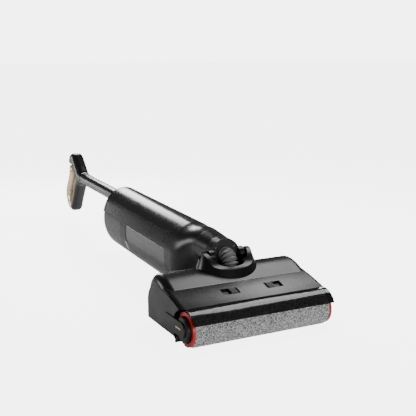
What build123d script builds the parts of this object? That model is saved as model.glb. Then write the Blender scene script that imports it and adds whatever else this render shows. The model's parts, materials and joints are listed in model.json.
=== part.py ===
from build123d import *
import os
from math import cos, radians, sin, tan

os.makedirs("parts", exist_ok=True)

# Cordless wet dry floor scrubber, lying nearly flat as it does under furniture.
# Millimetres, +Z up, +Y from the cleaning head towards the handle, floor at z = 0.
# Head parts are drawn with y = 0 at the neck pivot. Parts that tilt with the neck are
# drawn along +Y from the pivot, then tipped by REST_TILT and raised to PIVOT_Z.

# ---- driving dimensions ----
PIVOT_Y = -417.0          # puts the origin under the middle of the whole machine
PIVOT_Z = 117.4
REST_TILT = 1.63          # degrees above level

HEAD_HALF = 145.0         # half width over the side panels
HEAD_FLOOR = 11.5         # ground clearance of the casing
HEAD_BACK = 31.5
HEAD_WALL = 3.0
LIP_Y = -118.4            # front lip of the roller cover
LIP_Z = 67.3
SEAM_Y = -58.0            # rear seam of the roller cover
PANEL_T = 3.5             # side panel thickness
HUMP_Z = 99.0             # crest of the head, either side of the neck
HUMP_R = 17.0

ROLLER_Y = -118.7
ROLLER_Z = 32.0
PILE_R = 32.0
PILE_HALF = 133.0
CORE_R = 24.0
RING_R = 30.0
RING_T = 4.0
VISOR_R = 34.2            # outside of the clear visor
VISOR_T = 1.6
VISOR_LOW = 24.0          # degrees above level at the visor's lower edge

ARM_Z = 33.0              # roller end arm
ARM_R = 13.0
ARM_FRONT = -134.0
ARM_BACK = -54.0

COVER_TILT = 14.16        # slope of the cover, degrees
COVER_SLOPE = 0.2523      # rise of the cover per millimetre of depth
LATCH_X = (-35.5, 52.5)
LATCH_W = 33.0
LATCH_D = 19.0
LATCH_SLIDE_W = 12.0
LATCH_Y = -87.0

WHEEL_X = 100.0
WHEEL_Y = 10.0
WHEEL_Z = 17.0
WHEEL_R = 17.0
WHEEL_HALF = 8.0          # half width of a tyre
AXLE_R = 3.0

MOTOR_Y = -52.0
MOTOR_Z = 40.0
MOTOR_R = 18.0
MOTOR_SHAFT_R = 2.5
PULLEY_R = 8.0
DRIVE_R = 14.0            # toothed drum that turns the roller
BELT_X = 139.3
BELT_HALF = 1.5

HOSE_R = 15.0
HOSE_BEND = 18.5
HOSE_OUT_Z = 0.0          # hose centre on the neck face
FACE_SCREWS = ((-19, 14), (19, 14))

NECK_R = 30.0
NECK_RING_R = 33.0
NECK_END = 62.0
BODY_A = 55.0             # half width of the body section
BODY_B = 72.6             # half height of the body section
BODY_C = -39.3            # centre of the section below the neck axis
BODY_START = 130.0
BODY_END = 545.0
BODY_WALL = 5.0
PANEL_IN = 2.5            # depth of the glossy front panel
DOME_R = 26.0

TANK_TOP = -23.0          # split between the body and the clean tank
TANK_START = 157.0
TANK_SPLIT = 372.0        # clear part ends and the dark tank cap begins
DOME_START = 520.0        # seam of the rear dome
GAP = 0.4                 # gap between parts that come apart

TUBE_R = 16.0
TUBE_START = 530.0
TUBE_END = 858.0
GRIP_HALF = 16.0          # half width of the handle loop


# ---- helpers ----
def across(outline, x0, x1):
    """Extrude a (y, z) outline along X."""
    return extrude(Plane.YZ.offset(x0) * outline, amount=x1 - x0)


def along(outline, y0, y1):
    """Extrude an (x, z) outline along Y."""
    return extrude(Plane.XZ.offset(-y0) * outline, amount=y0 - y1)


def block(x0, x1, y0, y1, z0, z1):
    return Pos((x0 + x1) / 2, (y0 + y1) / 2, (z0 + z1) / 2) * Box(x1 - x0, y1 - y0, z1 - z0)


def rod_x(y, z, r, x0, x1):
    return Pos((x0 + x1) / 2, y, z) * Rot(0, 90, 0) * Cylinder(r, x1 - x0)


def rod_y(x, z, r, y0, y1):
    return Pos(x, (y0 + y1) / 2, z) * Rot(90, 0, 0) * Cylinder(r, y1 - y0)


def rod_z(x, y, r, z0, z1):
    return Pos(x, y, (z0 + z1) / 2) * Cylinder(r, z1 - z0)


def both(shape):
    """The shape and its mirror image across the middle plane."""
    return [shape, mirror(shape, Plane.YZ)]


def polygon(*points):
    return make_face(Polyline(*points, close=True))


def smooth(*points):
    return make_face(Spline(*points, periodic=True))


def rounded(shape, edges, radius):
    """Fillet the edges, stepping down to the largest radius that they take."""
    for r in (radius, radius * 0.7, radius * 0.4):
        try:
            done = fillet(edges, r)
            if done.is_valid:
                return done
        except Exception:
            continue
    print("no fillet of", radius)
    return shape


def at_head(shape):
    return Pos(0, PIVOT_Y, 0) * shape


def at_neck(shape):
    return Pos(0, PIVOT_Y, PIVOT_Z) * Rot(REST_TILT, 0, 0) * shape


def save(shapes, name, place):
    """Write one node. A list of shapes becomes a group of separate solids."""
    if not isinstance(shapes, list):
        shapes = [shapes]
    solids = [solid for shape in shapes for solid in shape.solids()]
    node = solids[0] if len(solids) == 1 else Compound(children=solids)
    export_step(place(node), f"parts/{name}.step")


# ---- cleaning head: outer form ----
def head_profile(inset=0.0):
    """Side outline of the head's base: a rising top, a round back edge, a flat floor."""
    back_y = HEAD_BACK - inset
    top = Spline((LIP_Y + inset, LIP_Z - inset), (-60, 81.8 - inset), (-22, 86.6 - inset),
                 (6 - inset * 0.3, 83.5 - inset * 0.9), (25 - inset * 0.8, 68 - inset * 0.6), (back_y, 46))
    rest = Polyline(top @ 1, (back_y, HEAD_FLOOR + inset), (LIP_Y + inset, HEAD_FLOOR + inset), top @ 0)
    return make_face(top + rest)


def hump_profile(inset=0.0):
    """Side outline of the crowned rear top, behind the roller cover."""
    front_y = SEAM_Y - 1.5 + inset
    back_y = HEAD_BACK - inset
    top = Spline((front_y, 82.3 - inset), (-36, 92.5 - inset), (-9, HUMP_Z - inset),
                 (9 - inset * 0.3, HUMP_Z - 3 - inset * 0.9), (25 - inset * 0.8, 79 - inset * 0.6), (back_y, 52))
    rest = Polyline(top @ 1, (back_y, 40), (front_y, 40), top @ 0)
    return make_face(top + rest)


def head_block(inset=0.0):
    """The whole head envelope, round along the top sides and at the rear corners."""
    half = HEAD_HALF - inset
    base = across(head_profile(inset), -half, half)
    rim = [e for e in base.edges() if e.center().Z > 60 and abs(e.center().X) > half - 1 and e.length > 60]
    base = rounded(base, rim, 9)
    hump = across(hump_profile(inset), -half, half)
    crest = [e for e in hump.edges() if e.center().Z > 80 and abs(e.center().X) > half - 1 and e.length > 60]
    hump = rounded(hump, crest, HUMP_R - inset)
    depth = HEAD_BACK - LIP_Y + 40
    plan = Pos(0, HEAD_BACK - inset - depth / 2) * Rectangle(2 * half + 1, depth)
    plan = fillet(plan.vertices().sort_by(Axis.Y)[-2:], 24)
    return (base + hump) & extrude(plan, amount=130)


def cover_plan(grow=0.0):
    """Plan outline of the lift-off roller cover, with round rear corners."""
    depth = SEAM_Y - LIP_Y + 10
    plan = Pos(0, SEAM_Y - depth / 2 + grow) * Rectangle(2 * (HEAD_HALF + 2 * grow), depth)
    return fillet(plan.vertices().sort_by(Axis.Y)[-2:], 16)


def panel_outline(grow=0.0):
    """Side panel seen from the side, cut back round the roller."""
    top = Spline((-106, 65.5 + grow), (-60, 77 + grow), (-22, 81 + grow), (4 + grow * 0.4, 78 + grow),
                 (20 + grow * 0.8, 64 + grow * 0.7), (27 + grow, 46))
    rest = Polyline(top @ 1, (27 + grow, HEAD_FLOOR - grow), (-92 - grow, HEAD_FLOOR - grow), (-106, 30), top @ 0)
    return make_face(top + rest) - Pos(ROLLER_Y, ROLLER_Z) * Circle(PILE_R + 1.5 - grow)


def arm_outline(grow=0.0):
    """Long tab of the roller end cap: round front end, soft rear corners."""
    tab = Pos((ARM_FRONT + ARM_BACK) / 2, ARM_Z) * Rectangle(ARM_BACK - ARM_FRONT, 2 * ARM_R)
    tab = fillet(tab.vertices().sort_by(Axis.X)[:2], ARM_R - 0.1)
    tab = fillet(tab.vertices().sort_by(Axis.X)[-2:], 6)
    return offset(tab, grow) if grow else tab


# ---- cleaning head: parts ----
def make_top_cover(shell):
    top = shell - extrude(cover_plan(GAP), amount=130)
    top -= across(panel_outline(GAP), HEAD_HALF - PANEL_T - GAP, HEAD_HALF + 5)
    top -= across(panel_outline(GAP), -HEAD_HALF - 5, -HEAD_HALF + PANEL_T + GAP)
    top -= block(-200, 200, -200, SEAM_Y - 2, 0, 60)
    top -= extrude(Plane.XY.offset(70) * Pos(0, -6) * Ellipse(42, 33), amount=60)
    top -= rod_y(0, PIVOT_Z, NECK_RING_R + 3, -2, 60)
    top -= block(-141, 141, -200, HEAD_BACK - HEAD_WALL, 0, 30)
    return max(top.solids(), key=lambda s: s.volume)


def make_side_panel():
    panel = across(panel_outline(), HEAD_HALF - PANEL_T, HEAD_HALF)
    return panel - across(arm_outline(0.6), HEAD_HALF - 2.3, HEAD_HALF + 5)


def make_roller_cover(form):
    plate = form & extrude(cover_plan(), amount=130)
    plate -= block(-200, 200, -200, LIP_Y, 0, 100)
    plate -= Pos(0, 0, -HEAD_WALL) * across(head_profile(), -200, 200)
    plate -= rod_x(ROLLER_Y, ROLLER_Z, VISOR_R + 0.3, -200, 200)
    for x in LATCH_X:
        plate -= on_cover(Box(LATCH_W, LATCH_D, 20), x)
    return max(plate.solids(), key=lambda s: s.volume)


def on_cover(shape, x):
    """Place a shape on the cover's sloping face at the latches' depth."""
    z = LIP_Z + (LATCH_Y - LIP_Y) * COVER_SLOPE + 0.9
    return Pos(x, LATCH_Y, z) * Rot(COVER_TILT, 0, 0) * shape


def make_latch_well(x):
    """Finger recess below the cover, open at the top."""
    cup = on_cover(Pos(0, 0, -5.8) * Box(LATCH_W + 5, LATCH_D + 5, 3.6), x)
    cup -= on_cover(Pos(0, 0, -3.4) * Box(LATCH_W - 0.6, LATCH_D - 0.6, 3.8), x)
    return cup


def make_latch_slider(x, side):
    """Sliding latch: a ribbed tab at the inner side of its recess."""
    centre = side * (LATCH_W / 2 - LATCH_SLIDE_W / 2 - 4.2)
    tab = Pos(centre, 0, -1.9) * Box(LATCH_SLIDE_W, LATCH_D - 1.6, 3.0)
    tab = rounded(tab, tab.edges().filter_by(Axis.Z), 1.5)
    for n in range(3):
        tab += Pos(centre + (n - 1) * 3, 0, -0.2) * Box(1.2, LATCH_D - 5, 0.8)
    return on_cover(tab, x)


def make_visor():
    ring = Circle(VISOR_R) - Circle(VISOR_R - VISOR_T)
    keep = polygon((0, 0), (-80, 80 * tan(radians(VISOR_LOW))), (-80, 80), (0, 80))
    wall = Pos(ROLLER_Y, ROLLER_Z) * (ring & keep)
    visor = across(wall, -PILE_HALF - 3, PILE_HALF + 8.5)
    ends = [e for e in visor.edges() if e.length < 3 and e.center().Z < 60]
    return rounded(visor, ends, 1.0)


def make_chassis():
    floor = block(-136, 136, -84, HEAD_BACK - HEAD_WALL - 1, HEAD_FLOOR, HEAD_FLOOR + 3)
    tray = floor
    for wall in both(block(133.5, 136.5, -84, HEAD_BACK - HEAD_WALL - 2, HEAD_FLOOR, 60)):
        tray += wall
    tray += block(-136, 136, HEAD_BACK - HEAD_WALL - 4, HEAD_BACK - HEAD_WALL - 1, HEAD_FLOOR, 40)
    arc = Circle(PILE_R + 6) - Circle(PILE_R + 3)
    arc &= polygon((0, 0), (80, -50), (80, 80), (56, 80))
    tray += across(Pos(ROLLER_Y, ROLLER_Z) * arc, -136.5, 136.5)
    for side in both(rod_x(WHEEL_Y, WHEEL_Z, WHEEL_R + 3, 84, 116)):
        tray -= side
    for rib in both(block(116, 119, -4, 24, HEAD_FLOOR, 34) + block(81, 84, -4, 24, HEAD_FLOOR, 34)):
        tray += rib
    for hole in both(rod_x(WHEEL_Y, WHEEL_Z, 3.0, 70, 130)):
        tray -= hole
    tray -= rod_x(MOTOR_Y, MOTOR_Z, 6.0, 130, 140)
    inside = Pos(0, HEAD_BACK - HEAD_WALL - 0.8 - 100) * Rectangle(2 * 137, 200)
    tray &= extrude(fillet(inside.vertices().sort_by(Axis.Y)[-2:], 24), amount=100)
    return max(tray.solids(), key=lambda s: s.volume)


def make_wheel(x):
    hub = rod_x(WHEEL_Y, WHEEL_Z, WHEEL_R - 3.2, x - WHEEL_HALF, x + WHEEL_HALF)
    return hub - rod_x(WHEEL_Y, WHEEL_Z, AXLE_R + 0.05, x - 20, x + 20)


def make_tyre(x):
    tyre = rod_x(WHEEL_Y, WHEEL_Z, WHEEL_R, x - 8, x + 8)
    tyre = rounded(tyre, tyre.edges().filter_by(GeomType.CIRCLE), 2.5)
    return tyre - rod_x(WHEEL_Y, WHEEL_Z, WHEEL_R - 3.2, x - 20, x + 20)


def make_collar():
    """Yoke on the head: a flared ring with two ears and a low sloping front."""
    base = Plane.XY.offset(80) * Pos(0, -6) * Ellipse(68, 50)
    waist = Plane.XY.offset(98) * Pos(0, -5) * Ellipse(59, 43)
    crown = Plane.XY.offset(127) * Pos(0, -2) * Ellipse(50, 33)
    ring = loft([base, waist, crown])
    ring -= loft([Plane.XY.offset(79) * Pos(0, -6) * Ellipse(44, 36),
                  Plane.XY.offset(128) * Pos(0, -4) * Ellipse(41, 30)])
    ears = smooth((-70, 100), (-46, 101), (-31, 107), (-19, 119), (-6, 126), (10, 125), (22, 112),
                  (34, 92), (60, 60), (0, 40), (-70, 60))
    ring &= across(ears, -80, 80)
    ring -= rod_y(0, PIVOT_Z, NECK_RING_R + 3.5, -2, 80)
    ring -= block(-NECK_RING_R - 3.5, NECK_RING_R + 3.5, 0, 80, 70, 160)
    ring -= Pos(0, 0, 0.05) * across(head_profile(), -80, 80)
    ring -= Pos(0, 0, 0.05) * across(hump_profile(), -80, 80)
    for bore in both(rod_x(0, PIVOT_Z, 4.05, 30, 60)):
        ring -= bore
    return max(ring.solids(), key=lambda s: s.volume)


def build_head():
    form = head_block()
    shell = form - head_block(HEAD_WALL)
    save(make_top_cover(shell), "head_top_cover", at_head)
    panel = make_side_panel()
    save(panel, "side_panel_right", at_head)
    save(mirror(panel, Plane.YZ), "side_panel_left", at_head)
    save(make_roller_cover(form), "roller_cover", at_head)
    save(make_visor(), "clear_visor", at_head)
    for name, x, side in (("left", LATCH_X[0], 1), ("right", LATCH_X[1], -1)):
        save(make_latch_well(x), f"latch_well_{name}", at_head)
        save(make_latch_slider(x, side), f"latch_slider_{name}", at_head)
    save(make_chassis(), "chassis", at_head)
    save(make_collar(), "collar", at_head)
    save(both(rod_x(0, PIVOT_Z, 4.0, NECK_RING_R - 7, 47)), "pivot_pins", at_head)
    for name, x in (("left", -WHEEL_X), ("right", WHEEL_X)):
        save(make_wheel(x), f"wheel_{name}", at_head)
        save(make_tyre(x), f"tyre_{name}", at_head)
    save(both(rod_x(WHEEL_Y, WHEEL_Z, 3.0, 81.5, 118.5)), "wheel_axles", at_head)


# ---- drive, roller cartridge and seals ----
def make_end_cap():
    """Pull-out end cap: the long tab outside, a hub and stub axle inside."""
    arm = across(arm_outline(), -HEAD_HALF - 2, -HEAD_HALF + 2)
    outer = [e for e in arm.edges() if abs(e.center().X + HEAD_HALF + 2) < 0.01]
    arm = rounded(arm, outer, 1.5)
    hub = rod_x(ROLLER_Y, ROLLER_Z, 22.0, -HEAD_HALF + 1, -PILE_HALF - 0.6)
    hub = rounded(hub, hub.edges().filter_by(GeomType.CIRCLE).sort_by(Axis.X)[:1], 3)
    stub = rod_x(ROLLER_Y, ROLLER_Z, 4.0, -PILE_HALF - 1, -PILE_HALF + 16)
    return arm + hub + stub


def make_end_cap_mark():
    return block(-HEAD_HALF - 2.35, -HEAD_HALF - 2, -120, -100, ARM_Z - 0.2, ARM_Z + 2.2)


def make_core():
    core = rod_x(ROLLER_Y, ROLLER_Z, CORE_R, -PILE_HALF, PILE_HALF)
    core -= rod_x(ROLLER_Y, ROLLER_Z, CORE_R - 3, -PILE_HALF + 14, PILE_HALF - 16)
    core -= rod_x(ROLLER_Y, ROLLER_Z, 9.0, -PILE_HALF - 1, -PILE_HALF + 15)
    hexagon = Pos(ROLLER_Y, ROLLER_Z) * RegularPolygon(8.2, 6)
    return core - across(hexagon, PILE_HALF - 17, PILE_HALF + 1)


def make_drive_arm():
    """Fixed arm on the far end that houses the belt and the drive dog."""
    arm = across(arm_outline(), HEAD_HALF - 2, HEAD_HALF + 2)
    outer = [e for e in arm.edges() if abs(e.center().X - HEAD_HALF - 2) < 0.01]
    return rounded(arm, outer, 1.5)


def make_drive_dog():
    pulley = rod_x(ROLLER_Y, ROLLER_Z, DRIVE_R, BELT_X - 2, BELT_X + 2)
    hexagon = Pos(ROLLER_Y, ROLLER_Z) * RegularPolygon(7.8, 6)
    return pulley + across(hexagon, PILE_HALF - 14, BELT_X)


def make_belt():
    def loop(grow):
        lower = Pos(ROLLER_Y, ROLLER_Z) * Circle(DRIVE_R + grow)
        upper = Pos(MOTOR_Y, MOTOR_Z) * Circle(PULLEY_R + grow)
        return make_hull(lower.edges() + upper.edges())
    return across(loop(1.9) - loop(0.3), BELT_X - BELT_HALF, BELT_X + BELT_HALF)


def make_squeegee():
    blade = block(-142, 142, -88, -85, 0, HEAD_FLOOR - 0.5)
    return blade + block(-142, 142, -90, -83, HEAD_FLOOR - 3.5, HEAD_FLOOR - 0.4)


def make_duct():
    """Suction duct from the roller chamber up to the hose inside the collar."""
    mouth = block(-40, 40, -78.5, -22, 16, 28) - block(-37, 37, -79, -24, 18.5, 25.5)
    riser = rod_z(0, -24, 17, 16, 74)
    riser -= rod_z(0, -24, 14.5, 18.5, 75)
    riser -= block(-12, 12, -60, -24, 18.5, 25.5)
    return mouth - rod_z(0, -24, 16, 15, 80) + riser


def make_scraper():
    return block(-125, 125, -88.0, -86.6, 43, 45.5)


def build_roller():
    save(make_end_cap(), "end_cap", at_head)
    save(make_end_cap_mark(), "end_cap_mark", at_head)
    save(make_core(), "roller_core", at_head)
    pile = rod_x(ROLLER_Y, ROLLER_Z, PILE_R, -PILE_HALF, PILE_HALF)
    pile = rounded(pile, pile.edges().filter_by(GeomType.CIRCLE), 4)
    save(pile - rod_x(ROLLER_Y, ROLLER_Z, CORE_R, -200, 200), "roller_pile", at_head)
    ring = rod_x(ROLLER_Y, ROLLER_Z, RING_R, PILE_HALF, PILE_HALF + RING_T)
    ring -= rod_x(ROLLER_Y, ROLLER_Z, RING_R - 6.5, 100, 200)
    save(ring, "roller_ring_right", at_head)
    save(mirror(ring, Plane.YZ), "roller_ring_left", at_head)
    bearing = rod_x(ROLLER_Y, ROLLER_Z, 9.0, -PILE_HALF + 0.4, -PILE_HALF + 12)
    save(bearing - rod_x(ROLLER_Y, ROLLER_Z, 4.05, -200, 200), "roller_bearing", at_head)


def build_drive():
    save(make_drive_arm(), "drive_arm", at_head)
    save(make_drive_dog(), "drive_dog", at_head)
    motor = rod_x(MOTOR_Y, MOTOR_Z, MOTOR_R, 60, 128)
    motor += rod_x(MOTOR_Y, MOTOR_Z, MOTOR_R - 4, 54, 60)
    save(motor - rod_x(MOTOR_Y, MOTOR_Z, 2.55, 100, 140), "brush_motor", at_head)
    pulley = rod_x(MOTOR_Y, MOTOR_Z, PULLEY_R, BELT_X - 2, BELT_X + 2)
    save(pulley + rod_x(MOTOR_Y, MOTOR_Z, 2.5, 101, BELT_X), "motor_pulley", at_head)
    save(make_belt(), "drive_belt", at_head)
    save(make_squeegee(), "squeegee", at_head)
    save(make_scraper(), "roller_scraper", at_head)
    save(make_duct(), "suction_duct", at_head)
    heads = [rod_z(x, 22, 3.2, HEAD_FLOOR - 1.6, HEAD_FLOOR) for x in (-60, 60)]
    heads += [rod_z(x, -70, 3.2, HEAD_FLOOR - 1.6, HEAD_FLOOR) for x in (-110, 110)]
    save(heads, "chassis_screws", at_head)


# ---- neck ----
def make_hose():
    """Plain bent hose from the neck face down to the duct."""
    face_z = PIVOT_Z + HOSE_OUT_Z
    line = Line((0, 8, face_z), (0, -3, face_z))
    bend = TangentArc((0, -3, face_z), (0, -3 - HOSE_BEND, face_z - HOSE_BEND), tangent=(0, -1, 0))
    drop = Line((0, -3 - HOSE_BEND, face_z - HOSE_BEND), (0, -3 - HOSE_BEND, 74.5))
    path = line + bend + drop
    ring = Plane(origin=(0, 8, face_z), z_dir=(0, -1, 0)) * Circle(HOSE_R)
    return sweep(ring, path=path)


def make_neck_shell():
    tube = rod_y(0, 0, NECK_R, 1.5, 22) + Solid.make_cone(NECK_R, NECK_RING_R, NECK_END - 24,
                                                          Plane(origin=(0, 22, 0), z_dir=(0, 1, 0)))
    bore = rod_y(0, 0, NECK_R - 3, 0, 22.1) + Solid.make_cone(NECK_R - 3, NECK_RING_R - 3, NECK_END - 24,
                                                              Plane(origin=(0, 22, 0), z_dir=(0, 1, 0)))
    tube -= bore
    for boss in both(rod_x(0, 0, 12, NECK_R - 6, NECK_R + 6)):
        tube += boss - rod_y(0, 0, NECK_R - 3, -20, 40)
    for bore in both(rod_x(0, 0, 4.05, 10, 60)):
        tube -= bore
    return tube


def make_neck_face():
    plate = rod_y(0, 0, NECK_R, -1.5, 1.4)
    plate = rounded(plate, plate.edges().filter_by(GeomType.CIRCLE).sort_by(Axis.Y)[:1], 1.0)
    plate -= rod_y(0, HOSE_OUT_Z, HOSE_R + 0.4, -5, 5)
    for x, z in FACE_SCREWS:
        plate -= rod_y(x, z, 2.2, -5, 5)
    for hinge in both(rod_x(0, 0, 12.4, NECK_R - 6.4, NECK_R + 6)):
        plate -= hinge
    return plate


def build_neck():
    save(make_neck_shell(), "neck_shell", at_neck)
    save(make_neck_face(), "neck_face", at_neck)
    save([rod_y(x, z, 2.1, 0.2, 1.3) for x, z in FACE_SCREWS], "neck_screws", at_neck)
    save(make_hose(), "hose", at_head)
    ring = rod_y(0, 0, NECK_RING_R - 0.2, NECK_END - 1.6, NECK_END + 1.4) - rod_y(0, 0, 24, 0, 90)
    save(ring, "swivel_ring", at_neck)


# ---- main body ----
def section(inset=0.0):
    return Pos(0, BODY_C) * Ellipse(BODY_A - inset, BODY_B - inset)


def prism(inset, y0, y1):
    """Straight oval stretch of the body."""
    return along(section(inset), y0, y1)


def shoulder(inset=0.0):
    """From the round neck ring out to the oval body."""
    start = NECK_END + 1.8
    ring = NECK_RING_R - inset
    return loft([Plane.XZ.offset(-start) * Circle(ring),
                 Plane.XZ.offset(-start - 8) * Pos(0, -1) * Ellipse(ring + 1, ring + 2),
                 Plane.XZ.offset(-start - 34) * Pos(0, -21) * Ellipse(45 - inset, 54 - inset),
                 Plane.XZ.offset(-BODY_START) * section(inset)])


def domed(inset, y0):
    """Rear stretch of the body with its rounded end."""
    main = prism(inset, y0, BODY_END - inset)
    rim = [e for e in main.edges() if e.center().Y > BODY_END - inset - 1 and e.length > 60]
    return rounded(main, rim, DOME_R - inset)


def panel_plan(grow=0.0):
    """Glossy panel seen from above: round lower end, softly squared upper end."""
    plan = Pos(0, 318) * Rectangle(84 + 2 * grow, 372 + 2 * grow)
    plan = fillet(plan.vertices().sort_by(Axis.Y)[:2], 40)
    return fillet(plan.vertices().sort_by(Axis.Y)[-2:], 15)


def above(y0, y1, z0=TANK_TOP):
    return block(-80, 80, y0, y1, z0, 80)


def below(y0, y1, z1=TANK_TOP - GAP):
    return block(-80, 80, y0, y1, -200, z1)


def make_body_shell():
    shell = prism(0, BODY_START, DOME_START) & above(BODY_START, DOME_START)
    shell += prism(0, BODY_START, TANK_START - 1)
    shell += shoulder()
    shell -= prism(BODY_WALL, BODY_START - 0.01, DOME_START + 1) & above(0, 600, TANK_TOP + 3)
    shell -= prism(BODY_WALL, BODY_START - 0.01, TANK_START - 5)
    shell -= shoulder(BODY_WALL)
    shell -= rod_y(0, 0, 20, 40, 80)
    pocket = extrude(Plane.XY.offset(3) * panel_plan(0.25), amount=60)
    return shell - (pocket - prism(PANEL_IN + 0.1, 100, 600))


def make_rear_dome():
    dome = domed(0, DOME_START + 0.3) & above(500, 600)
    dome -= domed(BODY_WALL, DOME_START) & above(500, 600, TANK_TOP + 3)
    dome += rod_y(0, 0, TUBE_R + 2.5, DOME_START + 0.3, 542)
    return dome - rod_y(0, 0, TUBE_R + 0.1, 400, 600)


def make_clean_tank():
    tank = prism(0, TANK_START, TANK_SPLIT) & below(0, 600)
    return tank - (prism(2.5, TANK_START + 2.5, TANK_SPLIT + 1) & below(0, 600, TANK_TOP - GAP - 2.5))


def make_tank_cap():
    cap = domed(0, TANK_SPLIT) & below(0, 600)
    cap -= domed(3, TANK_SPLIT + 3) & below(0, 600, TANK_TOP - GAP - 3)
    cap -= make_tank_latch(0.35, 4.6)
    return cap - make_fill_plug(0.1, 3.1)


def make_tank_latch(grow=0.0, depth=2.4):
    """Press tab on the left flank, following the body's curve."""
    slab = prism(-0.6, 370, 420) - prism(depth, 360, 430)
    return slab & block(-80, -30, 376 - grow, 412 + grow, -60 - grow, -26.5 + grow)


def make_fill_plug(grow=0.0, depth=2.0):
    slab = prism(-0.9, 370, 420) - prism(depth, 360, 430)
    return slab & block(-80, -20, 375.5 - grow, 386 + grow, -83 - grow, -63 + grow)


def make_tank_rail():
    """Toothed rail along the top edge of the window, inside one flank."""
    rail = prism(2.6, TANK_START + 4, 300) - prism(5.2, 100, 400)
    rail &= block(-80, -30, 0, 600, -32, -26)
    for n in range(16):
        y = TANK_START + 6 + n * 5.2
        rail -= block(-80, -30, y, y + 2.2, -29.4, -25)
    return max(rail.solids(), key=lambda s: s.volume)


def make_fan():
    hub = rod_y(0, 2, 6, 186, 200)
    for n in range(9):
        blade = Box(21, 10, 1.2, align=(Align.MIN, Align.CENTER, Align.CENTER))
        hub += Pos(0, 193, 2) * Rot(0, n * 40, 0) * blade
    return hub - rod_y(0, 2, 2.0, 180, 210)


def build_body():
    save(make_body_shell(), "body_shell", at_neck)
    plan = extrude(Plane.XY.offset(3) * panel_plan(), amount=60)
    save((prism(0, 100, 600) - prism(PANEL_IN, 90, 610)) & plan, "front_panel", at_neck)
    save(make_rear_dome(), "rear_dome", at_neck)
    save(make_clean_tank(), "clean_tank", at_neck)
    save(make_tank_cap(), "tank_cap", at_neck)
    save(make_tank_latch(), "tank_latch", at_neck)
    save(make_fill_plug(), "fill_plug", at_neck)
    rail = make_tank_rail()
    save(rail, "tank_rail_left", at_neck)
    save(mirror(rail, Plane.YZ), "tank_rail_right", at_neck)
    box = block(-36, 36, 175, 365, -56, -27.5)
    save(box - block(-34, 34, 177, 363, -54, -29.5), "inner_reservoir", at_neck)
    save([rod_y(x, -4, 9.0, 380, 450) for x in (-19, 0, 19)], "battery_cells", at_neck)
    save(block(-30, 30, 300, 372, -19.9, -18.3), "circuit_board", at_neck)
    save(rod_y(0, 2, 20, 205, 270), "suction_motor", at_neck)
    save(make_fan(), "suction_fan", at_neck)
    save(block(-14, 14, 325, 360, -18.2, 10), "water_pump", at_neck)
    save(rod_y(0, 2, 20, 150, 180), "filter", at_neck)


# ---- handle ----
def handle_outline():
    """Black half of the loop: upper arm, junction and front bar."""
    return smooth((847, 15), (866, 26), (886, 45), (904, 60), (918, 62), (929, 52), (940, 35), (943, 25),
                  (931, 28), (918, 34), (900, 21), (886, 6), (886, -12), (901, -39), (920, -66), (938, -91),
                  (943, -99), (934, -104), (921, -97), (897, -62), (878, -33), (866, -19), (847, -15))


def grip_outline():
    """Rear bar of the loop, waved to fit the fingers."""
    return smooth((943.5, 22), (940, 10), (943, -4), (957, -21), (972, -37), (982, -56), (982, -72), (971, -86),
                  (956, -96), (946, -98), (941, -92), (951, -82), (957, -68), (955, -52), (944, -36), (930, -18),
                  (921, -2), (920, 16), (922, 31), (932, 27))


def make_handle_body():
    body = across(handle_outline(), -GRIP_HALF, GRIP_HALF)
    body -= rod_y(0, 0, TUBE_R + 0.05, 700, TUBE_END)
    body -= button_at(-60.9, 898.7, 6.3, 4.2)
    body -= button_at(-45, 886.5, 2.2, 3)
    body -= power_at(5.3, 4.6)
    return max(body.solids(), key=lambda s: s.volume)


def button_at(z, s, r, depth):
    """A round pocket or button square to the front bar."""
    return Pos(0, s, z) * Rot(34 + 90, 0, 0) * Cylinder(r, 2 * depth)


def power_at(r, depth):
    return Pos(0, 890.9, 45.4) * Rot(45, 0, 0) * Cylinder(r, 2 * depth)


def make_grip():
    grip = across(grip_outline(), -GRIP_HALF, GRIP_HALF) - across(handle_outline(), -GRIP_HALF - 1, GRIP_HALF + 1)
    return max(grip.solids(), key=lambda s: s.volume)


def build_handle():
    tube = rod_y(0, 0, TUBE_R, TUBE_START, TUBE_END - 0.2) - rod_y(0, 0, TUBE_R - 1.6, 400, 900)
    save(tube, "handle_tube", at_neck)
    save(make_handle_body(), "handle_body", at_neck)
    save(make_grip(), "handle_grip", at_neck)
    save(button_at(-60.9, 898.7, 6.0, 2.4), "mode_button", at_neck)
    save(power_at(5.0, 3.2), "power_button", at_neck)


build_head()
build_roller()
build_drive()
build_neck()
build_body()
build_handle()
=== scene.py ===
import json
import math

import bpy
import numpy as np
from mathutils import Matrix, Vector


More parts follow.
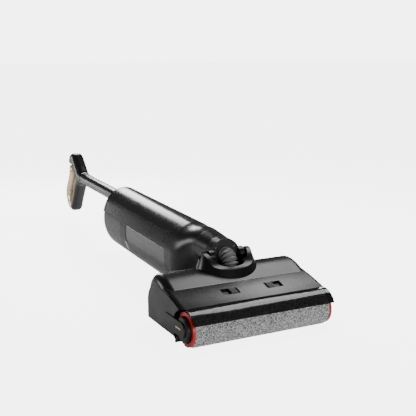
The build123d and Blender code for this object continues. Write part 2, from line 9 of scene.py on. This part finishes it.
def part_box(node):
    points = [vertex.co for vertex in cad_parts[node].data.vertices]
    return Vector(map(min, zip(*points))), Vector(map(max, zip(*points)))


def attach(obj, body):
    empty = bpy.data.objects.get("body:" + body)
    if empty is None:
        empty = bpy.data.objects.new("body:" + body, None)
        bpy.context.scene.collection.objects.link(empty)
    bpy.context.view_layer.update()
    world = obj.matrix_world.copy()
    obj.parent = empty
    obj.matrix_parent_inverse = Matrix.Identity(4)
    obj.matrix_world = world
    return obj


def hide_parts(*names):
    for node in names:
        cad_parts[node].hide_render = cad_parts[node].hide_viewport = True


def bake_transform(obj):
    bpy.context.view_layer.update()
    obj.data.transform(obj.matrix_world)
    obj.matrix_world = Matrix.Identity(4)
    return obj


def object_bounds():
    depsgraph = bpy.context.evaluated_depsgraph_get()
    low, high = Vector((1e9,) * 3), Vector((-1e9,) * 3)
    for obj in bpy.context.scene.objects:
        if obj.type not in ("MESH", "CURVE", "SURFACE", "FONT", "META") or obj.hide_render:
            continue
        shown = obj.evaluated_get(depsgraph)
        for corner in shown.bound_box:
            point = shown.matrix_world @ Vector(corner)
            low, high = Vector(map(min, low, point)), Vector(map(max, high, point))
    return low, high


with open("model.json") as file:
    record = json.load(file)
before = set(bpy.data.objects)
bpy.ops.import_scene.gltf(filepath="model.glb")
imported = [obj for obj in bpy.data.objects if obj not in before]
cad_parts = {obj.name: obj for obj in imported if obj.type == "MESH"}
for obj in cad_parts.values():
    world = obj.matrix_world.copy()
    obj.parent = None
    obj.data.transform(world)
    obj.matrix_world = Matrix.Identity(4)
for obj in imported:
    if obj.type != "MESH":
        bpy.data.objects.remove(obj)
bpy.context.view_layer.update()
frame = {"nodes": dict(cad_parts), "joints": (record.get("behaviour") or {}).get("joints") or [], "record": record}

# ---- places taken from the frame, in metres ----
MM = 0.001
PITCH = next(j for j in frame["joints"] if j["name"] == "neck_pitch")
SWIVEL = next(j for j in frame["joints"] if j["name"] == "body_swivel")
ROLLER = next(j for j in frame["joints"] if j["name"] == "roller_spin")
PIVOT = Vector(PITCH["pos_m"])
BODY_AXIS = Vector(SWIVEL["axis"]).normalized()
TILT = math.atan2(BODY_AXIS.z, BODY_AXIS.y)
ROLLER_AT = Vector(ROLLER["pos_m"])


def neck_matrix():
    """From neck coordinates (x, along the body, up) to the frame."""
    return Matrix.Translation(PIVOT) @ Matrix.Rotation(TILT, 4, "X")


# ---- materials ----
# Scales are in spots to the metre.
NOISE_LOW, NOISE_HIGH = 0.3, 0.7   # nearly all of a noise lies between these
VARY = 0.15                        # share by which a plastic's colour drifts
DRIFT_SCALE = 28
SMUDGE_SCALE = 22
CLEAR_DRIFT_SCALE = 35
HAZE_SCALE = 60
PEEL_DEPTH = 0.003 * MM
TUFT_SCALE = 980
STRAND_SCALE = 1500
TUFT_SHARE = 0.75                  # of the pile's tone, and the rest is its strands
PILE_DEPTH = 0.8 * MM
VISOR_SOLID = 134 * MM             # the visor is solid to the right of this
TANK_DARK = 60 * MM                # the tank hides less and less up to here
TANK_BAND = (66 * MM, 70 * MM)     # and turns paler over these heights


def start_material(name):
    """A new material with its node tree and its Principled shader."""
    mat = bpy.data.materials.new(name)
    mat.use_nodes = True
    tree = mat.node_tree
    return mat, tree, tree.nodes["Principled BSDF"]


def object_coords(tree):
    """Places on the piece itself, in metres."""
    return tree.nodes.new("ShaderNodeTexCoord").outputs["Object"]


def noise(tree, coords, scale, detail=3.0, rough=0.55):
    """Soft noise, from 0 to 1."""
    node = tree.nodes.new("ShaderNodeTexNoise")
    node.inputs["Scale"].default_value = scale
    node.inputs["Detail"].default_value = detail
    node.inputs["Roughness"].default_value = rough
    tree.links.new(coords, node.inputs["Vector"])
    return node.outputs["Fac"]


def ramp(tree, fac, stops):
    """A colour that follows fac through (place, colour) stops."""
    node = tree.nodes.new("ShaderNodeValToRGB")
    elements = node.color_ramp.elements
    while len(elements) < len(stops):
        elements.new(0.5)
    for element, (at, colour) in zip(elements, stops):
        element.position = at
        element.color = (*colour, 1.0)
    tree.links.new(fac, node.inputs["Fac"])
    return node.outputs["Color"]


def span(tree, fac, low, high):
    """Spreads the middle of a noise over the values from low to high."""
    node = tree.nodes.new("ShaderNodeMapRange")
    node.inputs["From Min"].default_value = NOISE_LOW
    node.inputs["From Max"].default_value = NOISE_HIGH
    node.inputs["To Min"].default_value = low
    node.inputs["To Max"].default_value = high
    tree.links.new(fac, node.inputs["Value"])
    return node.outputs["Result"]


def scaled(colour, k):
    """The colour made k times as bright."""
    return tuple(min(1.0, c * k) for c in colour)


def drifting(tree, fac, colour):
    """The colour, a little darker or lighter from place to place."""
    return ramp(tree, fac, [(NOISE_LOW, scaled(colour, 1 - VARY)),
                            (NOISE_HIGH, scaled(colour, 1 + VARY))])


def bump(tree, height, strength, distance):
    """Fine relief from a height from 0 to 1, at most `distance` deep."""
    node = tree.nodes.new("ShaderNodeBump")
    node.inputs["Strength"].default_value = strength
    node.inputs["Distance"].default_value = distance
    tree.links.new(height, node.inputs["Height"])
    return node.outputs["Normal"]


def moulded(name, colour, rough, spread=0.03, grain=420, metallic=0.0, shine=0.5):
    """Moulded or painted surface: slight colour drift, uneven gloss and a faint orange peel."""
    mat, tree, bsdf = start_material(name)
    coords = object_coords(tree)
    tone = drifting(tree, noise(tree, coords, DRIFT_SCALE, 4), colour)
    tree.links.new(tone, bsdf.inputs["Base Color"])
    smudge = noise(tree, coords, SMUDGE_SCALE, 3, 0.5)
    tree.links.new(span(tree, smudge, rough - spread, rough + spread), bsdf.inputs["Roughness"])
    fine = noise(tree, coords, grain, 2)
    tree.links.new(bump(tree, fine, 0.3, PEEL_DEPTH), bsdf.inputs["Normal"])
    bsdf.inputs["Metallic"].default_value = metallic
    bsdf.inputs["Specular IOR Level"].default_value = shine
    return mat


def place_step(tree, axis, low, high, at_low, at_high):
    """A value that changes with the place on the piece, from at_low to at_high."""
    split = tree.nodes.new("ShaderNodeSeparateXYZ")
    tree.links.new(object_coords(tree), split.inputs[0])
    step = tree.nodes.new("ShaderNodeMapRange")
    step.inputs["From Min"].default_value = low
    step.inputs["From Max"].default_value = high
    step.inputs["To Min"].default_value = at_low
    step.inputs["To Max"].default_value = at_high
    tree.links.new(split.outputs[axis], step.inputs["Value"])
    return step.outputs["Result"]


def clear(name, low_colour, high_colour, rough, cover, band):
    """Dark see-through plastic: a glossy tint that lets part of what is behind it show.

    The colour goes from the low to the high one over the band of heights. The cover says how much
    the plastic hides: an axis, two places on it, and the share hidden at each of them.
    """
    mat, tree, bsdf = start_material(name)
    coords = object_coords(tree)
    drift = noise(tree, coords, CLEAR_DRIFT_SCALE, 3)
    tones = [drifting(tree, drift, colour) for colour in (low_colour, high_colour)]
    mix = tree.nodes.new("ShaderNodeMix")
    mix.data_type = "RGBA"
    tree.links.new(place_step(tree, "Z", *band, 0, 1), mix.inputs["Factor"])
    tree.links.new(tones[0], mix.inputs["A"])
    tree.links.new(tones[1], mix.inputs["B"])
    tree.links.new(mix.outputs["Result"], bsdf.inputs["Base Color"])
    haze = noise(tree, coords, HAZE_SCALE, 2)
    tree.links.new(span(tree, haze, rough, rough + 0.03), bsdf.inputs["Roughness"])
    tree.links.new(place_step(tree, *cover), bsdf.inputs["Alpha"])
    bsdf.inputs["IOR"].default_value = 1.6
    return mat


def pile(name):
    """Short speckled pile: pale and dark tufts about a millimetre across."""
    mat, tree, bsdf = start_material(name)
    coords = object_coords(tree)
    tufts = tree.nodes.new("ShaderNodeTexVoronoi")
    tufts.inputs["Scale"].default_value = TUFT_SCALE
    tree.links.new(coords, tufts.inputs["Vector"])
    split = tree.nodes.new("ShaderNodeSeparateColor")
    tree.links.new(tufts.outputs["Color"], split.inputs["Color"])
    mixed = tree.nodes.new("ShaderNodeMath")
    mixed.operation = "MULTIPLY_ADD"
    mixed.inputs[1].default_value = TUFT_SHARE
    tree.links.new(split.outputs["Red"], mixed.inputs[0])
    strands = tree.nodes.new("ShaderNodeMath")
    strands.operation = "MULTIPLY"
    strands.inputs[1].default_value = 1 - TUFT_SHARE
    tree.links.new(noise(tree, coords, STRAND_SCALE, 3), strands.inputs[0])
    tree.links.new(strands.outputs[0], mixed.inputs[2])
    tone = ramp(tree, mixed.outputs[0], [(0.15, (0.03, 0.03, 0.031)), (0.45, (0.3, 0.3, 0.305)),
                                         (0.8, (0.88, 0.88, 0.89))])
    tree.links.new(tone, bsdf.inputs["Base Color"])
    bsdf.inputs["Roughness"].default_value = 0.9
    bsdf.inputs["Sheen Weight"].default_value = 0.3
    bsdf.inputs["Specular IOR Level"].default_value = 0.15
    tree.links.new(bump(tree, mixed.outputs[0], 0.8, PILE_DEPTH), bsdf.inputs["Normal"])
    return mat


MATERIALS = {
    "black_satin": moulded("satin_black", (0.006, 0.006, 0.0064), 0.28, 0.015, shine=0.3),
    "black_gloss": moulded("piano_black", (0.004, 0.004, 0.0044), 0.25, 0.015, grain=200),
    "black_matte": moulded("grained_black", (0.009, 0.009, 0.0094), 0.42, 0.04, grain=1500,
                           shine=0.35),
    "rubber_black": moulded("rubber", (0.009, 0.009, 0.009), 0.6, 0.06, grain=900),
    "red_trim": moulded("red_trim", (0.5, 0.008, 0.008), 0.32),
    "champagne": moulded("champagne_gold", (0.82, 0.6, 0.41), 0.22, 0.03, metallic=0.5),
    "smoke_clear": clear("smoke_visor", (0.006, 0.006, 0.0065), (0.006, 0.006, 0.0065), 0.08,
                         cover=("X", VISOR_SOLID - 0.5 * MM, VISOR_SOLID + 0.5 * MM, 0.62, 1.0),
                         band=(0, 0.1)),
    "tank_clear": clear("smoke_tank", (0.02, 0.02, 0.021), (0.11, 0.11, 0.113), 0.12,
                        cover=("Z", 0.0, TANK_DARK, 0.95, 0.72), band=TANK_BAND),
    "pile_grey": pile("speckled_pile"),
    "steel": moulded("steel", (0.16, 0.16, 0.165), 0.4, 0.05, metallic=1.0),
    "grey_plastic": moulded("grey_plastic", (0.1, 0.1, 0.105), 0.45, 0.04),
    # also colours the pale rods painted as highlights along the tank's top edges
    "bright_tab": moulded("pale_tab_and_painted_highlight", (0.5, 0.5, 0.51), 0.3),
    "battery_green": moulded("battery_sleeve", (0.02, 0.14, 0.1), 0.35),
    "board_green": moulded("board", (0.006, 0.07, 0.03), 0.4),
    "hose_grey": moulded("hose_grey", (0.16, 0.16, 0.163), 0.32, 0.04),
}


def dress_cad():
    """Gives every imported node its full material."""
    slots = {s["node"]: s["material_slot"] for s in frame["record"]["subparts"]}
    for node, obj in frame["nodes"].items():
        material = MATERIALS[slots[node]]
        if not obj.material_slots:
            obj.data.materials.append(material)
        for held in obj.material_slots:
            held.link = "OBJECT"
            held.material = material


def add_mesh(name, verts, faces, material, smooth=True):
    """A new object of one mesh, in one material."""
    mesh = bpy.data.meshes.new(name)
    mesh.from_pydata([tuple(v) for v in verts], [], [tuple(f) for f in faces])
    mesh.update()
    mesh.materials.append(material)
    for poly in mesh.polygons:
        poly.use_smooth = smooth
    obj = bpy.data.objects.new(name, mesh)
    bpy.context.collection.objects.link(obj)
    return obj


def round_angles(around):
    """Evenly spaced angles of one full turn."""
    return np.linspace(0, 2 * math.pi, around, endpoint=False)


def along_path(points):
    """Distance along a path, from its first point to each of its points."""
    return np.r_[0, np.cumsum(np.hypot(*np.diff(points, axis=0).T))]


def unit_steps(u, v):
    """Unit direction of a curve at each of its points, in two components."""
    du, dv = np.gradient(u), np.gradient(v)
    size = np.hypot(du, dv)
    return du / size, dv / size


def grid_faces(rows, around):
    """Quads of a tube with the given rows of points, closed around."""
    return [(i * around + j, i * around + (j + 1) % around,
             (i + 1) * around + (j + 1) % around, (i + 1) * around + j)
            for i in range(rows - 1) for j in range(around)]


# ---- roller pile ----
CORE_R = 24 * MM         # of the hard tube under the pile
PILE_CORNER = 4 * MM     # rounding of the pile at its two ends
PILE_FUZZ = 1.1 * MM     # how unevenly the tufts stand
PILE_JOG = 0.3 * MM      # how far they lean along the roller
PILE_RINGS = 340
PILE_AROUND = 300


def make_pile():
    """Tufted cover of the roller: a tube with rounded ends, its surface roughened at random."""
    low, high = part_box("roller_pile")
    radius = (high[2] - low[2]) / 2
    rng = np.random.default_rng(7)
    xs, rs = [low[0]], [CORE_R]
    for a in np.linspace(0, math.pi / 2, 6):
        xs.append(low[0] + PILE_CORNER * (1 - math.cos(a)))
        rs.append(radius - PILE_CORNER * (1 - math.sin(a)))
    middle = np.linspace(low[0] + PILE_CORNER, high[0] - PILE_CORNER, PILE_RINGS)[1:-1]
    xs = xs + list(middle) + [low[0] + high[0] - x for x in reversed(xs)]
    rs = rs + [radius] * len(middle) + list(reversed(rs))
    angle = round_angles(PILE_AROUND)
    verts = []
    for x, r in zip(xs, rs):
        fuzz = jog = np.zeros(PILE_AROUND)
        if r > CORE_R + MM:
            fuzz = rng.uniform(0, PILE_FUZZ, PILE_AROUND)
            jog = rng.uniform(-PILE_JOG, PILE_JOG, PILE_AROUND)
        ring = np.maximum(r - fuzz, CORE_R)
        verts.append(np.stack([x + jog, ROLLER_AT.y + ring * np.cos(angle),
                               ROLLER_AT.z + ring * np.sin(angle)], 1))
    verts = np.concatenate(verts)
    obj = add_mesh("roller_pile_tufts", verts, grid_faces(len(xs), PILE_AROUND),
                   MATERIALS["pile_grey"], smooth=False)
    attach(obj, "roller")
    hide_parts("roller_pile")


# ---- bellows hose ----
HOSE_RIBS = 10
HOSE_RIB = 2.6 * MM      # half the depth from the top of a rib to its valley
HOSE_BEND = 18.5 * MM
HOSE_BACK = 4 * MM       # how far it reaches behind the pivot, into the neck face
HOSE_STRAIGHT = 3 * MM   # and in front of it, before the bend
HOSE_ROWS = 190
HOSE_AROUND = 48


def make_hose():
    """Ribbed hose along a quarter bend from the neck face down into the duct."""
    low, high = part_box("hose")
    radius = (high[0] - low[0]) / 2
    top = high[2] - radius
    front = low[1] + radius
    turn_y, turn_z = PIVOT.y - HOSE_STRAIGHT, top - HOSE_BEND
    path = [(PIVOT.y + HOSE_BACK, top), (turn_y, top)]
    for a in np.linspace(0, math.pi / 2, 60)[1:]:
        path.append((turn_y - HOSE_BEND * math.sin(a), turn_z + HOSE_BEND * math.cos(a)))
    path.append((front, low[2]))
    path = np.array(path)
    gaps = along_path(path)
    along = np.linspace(0, gaps[-1], HOSE_ROWS)
    ys = np.interp(along, gaps, path[:, 0])
    zs = np.interp(along, gaps, path[:, 1])
    dy, dz = unit_steps(ys, zs)
    angle = round_angles(HOSE_AROUND)
    wave = np.cos(along / gaps[-1] * HOSE_RIBS * 2 * math.pi)
    ring = radius - HOSE_RIB + HOSE_RIB * wave
    verts = []
    for y, z, ty, tz, r in zip(ys, zs, dy, dz, ring):
        side = r * np.sin(angle)
        verts.append(np.stack([r * np.cos(angle), y - tz * side, z + ty * side], 1))
    obj = add_mesh("bellows_hose", np.concatenate(verts), grid_faces(HOSE_ROWS, HOSE_AROUND),
                   MATERIALS["hose_grey"])
    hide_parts("hose")
    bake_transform(obj)


# ---- handle loop ----
# In millimetres and neck coordinates. Each bar: (along the body, up, half depth) at points of its
# middle line.
ARM = [(834, 0, 14.5), (850, 0, 16.5), (864, 5, 19), (878, 19, 18.5), (893, 33, 17.5),
       (909, 46, 17.5), (926, 46, 15.5), (940, 31, 10)]
FRONT_BAR = [(860, 0, 16.5), (878, -16, 13.5), (891, -37, 11.5), (904, -57, 10.5),
             (917, -77, 10.5), (930, -97, 11), (939, -106, 8.5)]
GRIP_BAR = [(938, 28, 8.5), (931, 12, 11), (932, -3, 12), (950, -28, 11), (963, -44.5, 12),
            (969, -58, 13), (968, -71, 13.5), (960.5, -84, 12.5), (949, -97, 10.5), (939, -104, 8)]
HALF_LOOP = 17.0         # greatest half width of a bar
BAR_SPARE = 6            # a thin bar's half width is its half depth and this
BAR_END = 7              # length of a bar's rounded end
BAR_SQUARE = 0.75        # power of the section's sines: 1 is an ellipse, less is squarer
BAR_ROWS = 60
BAR_AROUND = 48
LOOP_VOXEL = 1.2 * MM


def bar_mesh(points):
    """Vertices and faces of one bar: squarish rings along its middle line, with round ends."""
    points = np.array(points, float)
    gaps = along_path(points[:, :2])
    along = np.linspace(0, gaps[-1], BAR_ROWS)
    s, z, r = (np.interp(along, gaps, points[:, k]) for k in range(3))
    for line in (s, z, r):
        for _ in range(3):
            line[1:-1] = (line[:-2] + 2 * line[1:-1] + line[2:]) / 4
    ds, dz = unit_steps(s, z)
    end = np.minimum(along, gaps[-1] - along)
    shrink = np.sqrt(np.clip(1 - (1 - np.clip(end / BAR_END, 0, 1)) ** 2, 0.02, 1))
    angle = round_angles(BAR_AROUND)
    across = np.sign(np.cos(angle)) * np.abs(np.cos(angle)) ** BAR_SQUARE
    deep = np.sign(np.sin(angle)) * np.abs(np.sin(angle)) ** BAR_SQUARE
    verts = []
    for k in range(BAR_ROWS):
        side = deep * r[k] * shrink[k]
        wide = across * min(HALF_LOOP, r[k] + BAR_SPARE) * shrink[k]
        verts.append(np.stack([wide, s[k] - dz[k] * side, z[k] + ds[k] * side], 1) * MM)
    count = BAR_ROWS * BAR_AROUND
    first_end = tuple(range(BAR_AROUND - 1, -1, -1))
    last_end = tuple(range(count - BAR_AROUND, count))
    return np.concatenate(verts), grid_faces(BAR_ROWS, BAR_AROUND) + [first_end, last_end]


def loop_piece(name, bars, passes, material):
    """Joins the bars into one even skin and rubs the joins smooth."""
    verts, faces = [], []
    for points in bars:
        more, quads = bar_mesh(points)
        start = sum(len(v) for v in verts)
        verts.append(more)
        faces += [tuple(i + start for i in face) for face in quads]
    obj = add_mesh(name, np.concatenate(verts), faces, material)
    remesh = obj.modifiers.new("remesh", "REMESH")
    remesh.mode = "VOXEL"
    remesh.voxel_size = LOOP_VOXEL
    rub = obj.modifiers.new("rub", "SMOOTH")
    rub.factor = 0.5
    rub.iterations = passes
    bpy.context.view_layer.update()
    shaped = obj.evaluated_get(bpy.context.evaluated_depsgraph_get())
    even = bpy.data.meshes.new_from_object(shaped)
    obj.modifiers.clear()
    obj.data = even
    even.transform(neck_matrix())
    even.materials.clear()
    even.materials.append(material)
    for poly in even.polygons:
        poly.use_smooth = True
    return obj


def make_handle():
    """Closed loop handle: a black half with the two bars, and a gold grip that closes it."""
    black = loop_piece("handle_loop_front", [ARM, FRONT_BAR], 12, MATERIALS["black_gloss"])
    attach(black, "body")
    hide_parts("handle_body")
    gold = loop_piece("handle_loop_grip", [GRIP_BAR], 6, MATERIALS["champagne"])
    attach(gold, "body")
    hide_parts("handle_grip")


# ---- rubber end seals of the squeegee ----
SEAL_INNER = 0.955       # inner end of a seal, as a share of the squeegee's half width
SEAL_FRONT, SEAL_BACK = 5 * MM, 2 * MM   # how far it reaches past the squeegee
SEAL_DOWN, SEAL_UP = 4 * MM, 3 * MM      # and from the squeegee's top


def make_end_seals():
    """A small rubber block over each end of the squeegee."""
    low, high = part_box("squeegee")
    for name, x in (("left", low.x), ("right", high.x)):
        lo = (min(x, x * SEAL_INNER), low.y - SEAL_FRONT, high.z - SEAL_DOWN)
        hi = (max(x, x * SEAL_INNER), high.y + SEAL_BACK, high.z + SEAL_UP)
        verts = [(a, b, c) for a in (lo[0], hi[0]) for b in (lo[1], hi[1]) for c in (lo[2], hi[2])]
        faces = [(0, 1, 3, 2), (4, 6, 7, 5), (0, 4, 5, 1), (2, 3, 7, 6), (0, 2, 6, 4), (1, 5, 7, 3)]
        seal = add_mesh(f"squeegee_end_seal_{name}", verts, faces, MATERIALS["rubber_black"],
                        smooth=False)
        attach(seal, "head")


# ---- painted highlight: pale rods along the top edge of the clear tank ----
# In millimetres and neck coordinates.
HIGHLIGHT_FROM, HIGHLIGHT_TO = 166, 368
HIGHLIGHT_X = 53.9
HIGHLIGHT_UP = -24.2
HIGHLIGHT_THICK, HIGHLIGHT_THIN = 0.75, 0.45
HIGHLIGHT_PITCH = 4
HIGHLIGHT_ROWS = 60
HIGHLIGHT_AROUND = 12


def make_tank_edge_highlights():
    """A pale toothed rod along each side of the tank, thick and thin by turns: a painted highlight where the
    tank's top edge catches the light.
    """
    angle = round_angles(HIGHLIGHT_AROUND)
    for name, side in (("left", -1), ("right", 1)):
        rows = []
        for s in np.linspace(HIGHLIGHT_FROM, HIGHLIGHT_TO, HIGHLIGHT_ROWS):
            r = HIGHLIGHT_THICK if int((s - HIGHLIGHT_FROM) / HIGHLIGHT_PITCH) % 2 else HIGHLIGHT_THIN
            rows.append(np.stack([side * HIGHLIGHT_X + r * np.cos(angle), np.full(HIGHLIGHT_AROUND, s),
                                  HIGHLIGHT_UP + r * np.sin(angle)], 1) * MM)
        # pale rod in the tab's material: a painted highlight along the tank's top edge
        highlight_rod = add_mesh(f"tank_edge_painted_highlight_{name}", np.concatenate(rows),
                        grid_faces(HIGHLIGHT_ROWS, HIGHLIGHT_AROUND), MATERIALS["bright_tab"])
        highlight_rod.data.transform(neck_matrix())
        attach(highlight_rod, "tank")


# ---- studio ----
CAMERA_AT = (-0.6427, -1.6299, 0.4781)
CAMERA_YAW = 26.63       # degrees, turned to the right from looking along y
CAMERA_PITCH = 11.26     # and down
CAMERA_ROLL = -0.35
CAMERA_LENS = 66.07
CAMERA_SENSOR = 36

# Brightness of the background and the floor: as the camera sees it, and as it lights the part.
BACK_SEEN, BACK_FILL = 5.5, 0.12
FLOOR_SEEN, FLOOR_FILL = 5.0, 0.25
FLOOR_HALF = 60.0
FLOOR_GAP = 0.2 * MM

# Each light: name, place, what it points at, width and height in metres, power in watts.
LIGHTS = [
    ("overhead", (0.66, -0.12, 1.16), (0, -0.5, 0.08), (0.75, 0.75), 12.5),
    ("back_high", (0.2, 1.15, 0.7), (0, 0.0, 0.13), (0.38, 0.42), 8),
    ("tube_strip", (-0.47, 1.5, 0.14), (0, 0.3, 0.11), (0.14, 0.4), 0.9),
    ("front_low", (0.1, -2.1, 0.3), (0, -0.55, 0.05), (1.4, 0.3), 12),
    ("left_low", (-0.95, 0.4, 0.4), (0, 0.52, 0.12), (0.5, 0.3), 4.5),
]


def add_camera():
    """Camera beside the head, which looks along the machine from slightly above."""
    data = bpy.data.cameras.new("camera")
    data.lens = CAMERA_LENS
    data.sensor_width = CAMERA_SENSOR
    cam = bpy.data.objects.new("camera", data)
    bpy.context.collection.objects.link(cam)
    cam.location = CAMERA_AT
    yaw = Matrix.Rotation(math.radians(-CAMERA_YAW), 4, "Z")
    pitch = Matrix.Rotation(math.radians(90 - CAMERA_PITCH), 4, "X")
    roll = Matrix.Rotation(math.radians(CAMERA_ROLL), 4, "Z")
    cam.rotation_euler = (yaw @ pitch @ roll).to_euler()
    bpy.context.scene.camera = cam


def area_light(name, at, aim, size, power):
    """A rectangular light that points at a place and isn't seen itself."""
    data = bpy.data.lights.new(name, "AREA")
    data.shape = "RECTANGLE"
    data.size, data.size_y = size
    data.energy = power
    lamp = bpy.data.objects.new(name, data)
    bpy.context.collection.objects.link(lamp)
    lamp.location = at
    lamp.visible_camera = False
    lamp.rotation_euler = (Vector(aim) - Vector(at)).to_track_quat("-Z", "Y").to_euler()


def two_way(tree, kind, seen, hidden):
    """One shader for what the camera sees directly, another for light and reflections."""
    mix = tree.nodes.new("ShaderNodeMixShader")
    path = tree.nodes.new("ShaderNodeLightPath")
    tree.links.new(path.outputs["Is Camera Ray"], mix.inputs["Fac"])
    tree.links.new(hidden, mix.inputs[1])
    tree.links.new(seen, mix.inputs[2])
    out = tree.nodes.new(kind)
    out.is_active_output = True
    tree.links.new(mix.outputs[0], out.inputs["Surface"])


def add_studio():
    """A white background, which lights the part only a little, and the lights."""
    world = bpy.data.worlds.new("studio")
    bpy.context.scene.world = world
    world.use_nodes = True
    tree = world.node_tree
    tree.nodes.clear()
    backs = []
    for strength in (BACK_SEEN, BACK_FILL):
        back = tree.nodes.new("ShaderNodeBackground")
        back.inputs["Color"].default_value = (1, 1, 1, 1)
        back.inputs["Strength"].default_value = strength
        backs.append(back.outputs[0])
    two_way(tree, "ShaderNodeOutputWorld", backs[0], backs[1])
    for light in LIGHTS:
        area_light(*light)


def add_floor():
    """A wide white floor just under the part."""
    mat, tree, bsdf = start_material("floor_paint")
    fac = noise(tree, object_coords(tree), 3, 4)
    tone = ramp(tree, fac, [(NOISE_LOW, (0.84, 0.84, 0.84)), (NOISE_HIGH, (0.86, 0.86, 0.86))])
    tree.links.new(tone, bsdf.inputs["Base Color"])
    bsdf.inputs["Roughness"].default_value = 0.8
    bsdf.inputs["Specular IOR Level"].default_value = 0.0
    sums = []
    for strength in (FLOOR_SEEN, FLOOR_FILL):
        glow = tree.nodes.new("ShaderNodeEmission")
        glow.inputs["Strength"].default_value = strength
        both = tree.nodes.new("ShaderNodeAddShader")
        tree.links.new(bsdf.outputs[0], both.inputs[0])
        tree.links.new(glow.outputs[0], both.inputs[1])
        sums.append(both.outputs[0])
    two_way(tree, "ShaderNodeOutputMaterial", sums[0], sums[1])
    floor_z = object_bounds()[0].z - FLOOR_GAP
    corners = [(-1, -1), (1, -1), (1, 1), (-1, 1)]
    verts = [(x * FLOOR_HALF, y * FLOOR_HALF, floor_z) for x, y in corners]
    add_mesh("floor", verts, [(0, 1, 2, 3)], mat, smooth=False)


add_camera()
dress_cad()
make_pile()
make_hose()
make_handle()
make_tank_edge_highlights()
make_end_seals()
add_studio()
add_floor()
